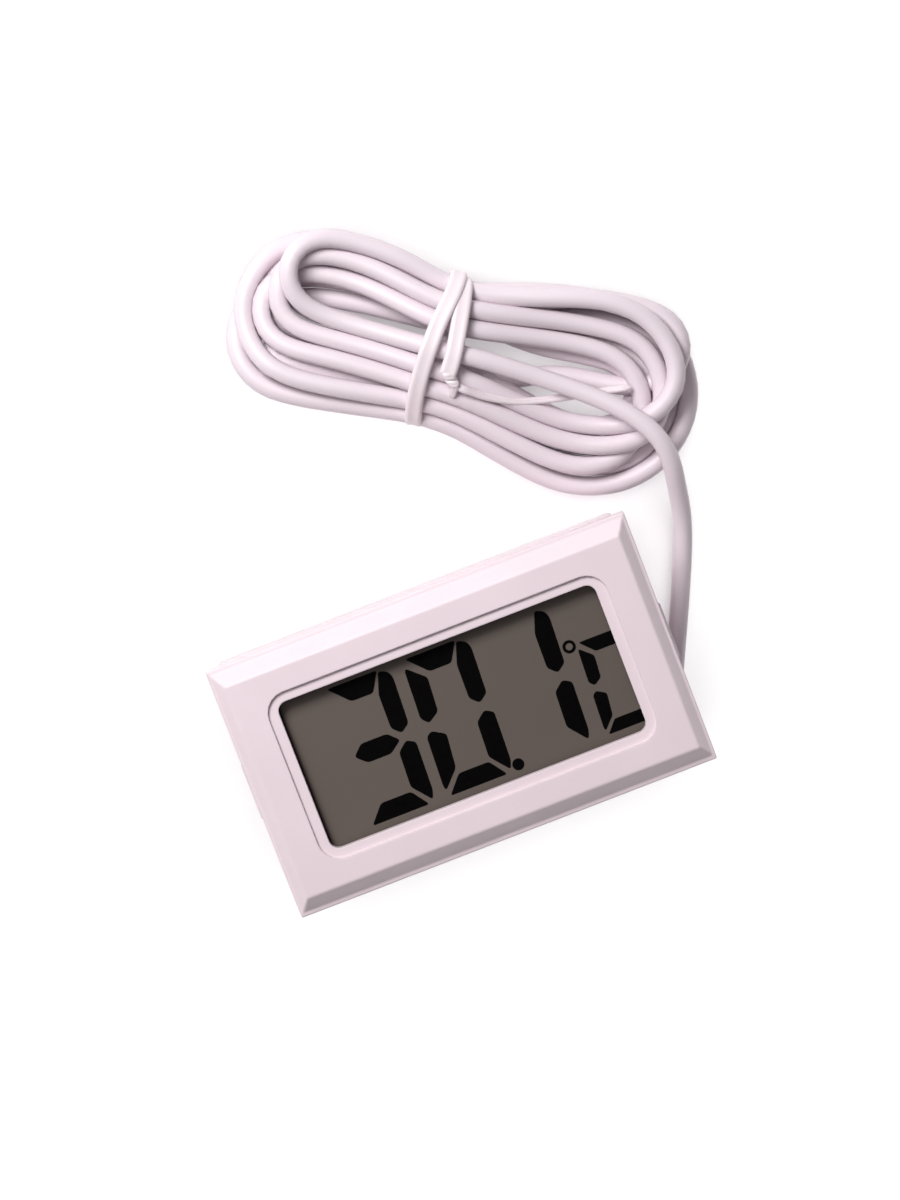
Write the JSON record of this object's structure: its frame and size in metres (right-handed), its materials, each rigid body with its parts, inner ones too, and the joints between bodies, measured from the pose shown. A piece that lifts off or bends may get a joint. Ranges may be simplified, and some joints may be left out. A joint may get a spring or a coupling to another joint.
{
  "type": "digital panel thermometer",
  "caption": "Snap-in digital panel thermometer with a liquid crystal display and a remote temperature probe on a thin cord wound in a tied hank.",
  "frame": {"origin": "centre of the case on the surface that it lies on, at the rear cover's outer face", "axes": "+X to the display's right, +Y to the display's top, +Z out of the display's face"},
  "size_m": [0.062, 0.0671, 0.0152],
  "materials": {
    "case": "satin, faintly pink white",
    "cover": "fine matt texture",
    "glass": "polished",
    "film": "anti-glare satin",
    "foil": "satin foil",
    "gasket": "matt",
    "frame": "matt",
    "board": "solder mask",
    "epoxy": "cast epoxy",
    "ceramic": "fired ceramic",
    "steel": "nickel plated",
    "brass": "spring brass",
    "cord": "soft vinyl jacket",
    "fitting": "moulded",
    "tie": "plastic over a wire core",
    "red_wire": "vinyl",
    "black_wire": "vinyl"
  },
  "bodies": {
    "root": {"board_screw_1": "steel", "board_screw_2": "steel", "board_screw_3": "steel", "board_screw_4": "steel", "button_cell_1": "steel", "button_cell_2": "steel", "cable_gland": "fitting", "capacitor": "ceramic", "cell_contact_negative": "brass", "cell_contact_positive": "brass", "chip_epoxy": "epoxy", "circuit_board": "board", "cord_hank": "cord", "cord_lead": "cord", "cover_screw_1": "steel", "cover_screw_2": "steel", "crystal": "steel", "display_frame": "frame", "display_front_glass": "glass", "display_gasket": "gasket", "display_polariser": "film", "display_rear_glass": "glass", "display_reflector": "foil", "front_case": "case", "probe_plug": "fitting", "rear_cover": "cover", "resistor_1": "epoxy", "resistor_2": "epoxy", "sensor_probe": "fitting", "sensor_wire_1": "red_wire", "sensor_wire_2": "black_wire", "thermistor": "epoxy", "twist_tie": "tie", "zebra_strip_lower": "gasket", "zebra_strip_upper": "gasket"},
    "battery_door": {"battery_door": "cover", "cell_link": "brass"},
    "clip_left": {"clip_left": "case"},
    "clip_right": {"clip_right": "case"}
  },
  "joints": [
    {"name": "battery_door_slide", "type": "slide", "parent": "root", "child": "battery_door", "axis": [0, -1, 0], "range_m": [0, 0.0205]},
    {"name": "clip_left_flex", "type": "hinge", "parent": "root", "child": "clip_left", "pos_m": [-0.0225, 0, 0.0028], "axis": [0, 1, 0], "range_deg": [0, 10.5], "stiffness_Nm_per_rad": 0.08},
    {"name": "clip_right_flex", "type": "hinge", "parent": "root", "child": "clip_right", "pos_m": [0.0225, 0, 0.0028], "axis": [0, -1, 0], "range_deg": [0, 10.5], "stiffness_Nm_per_rad": 0.08}
  ]
}
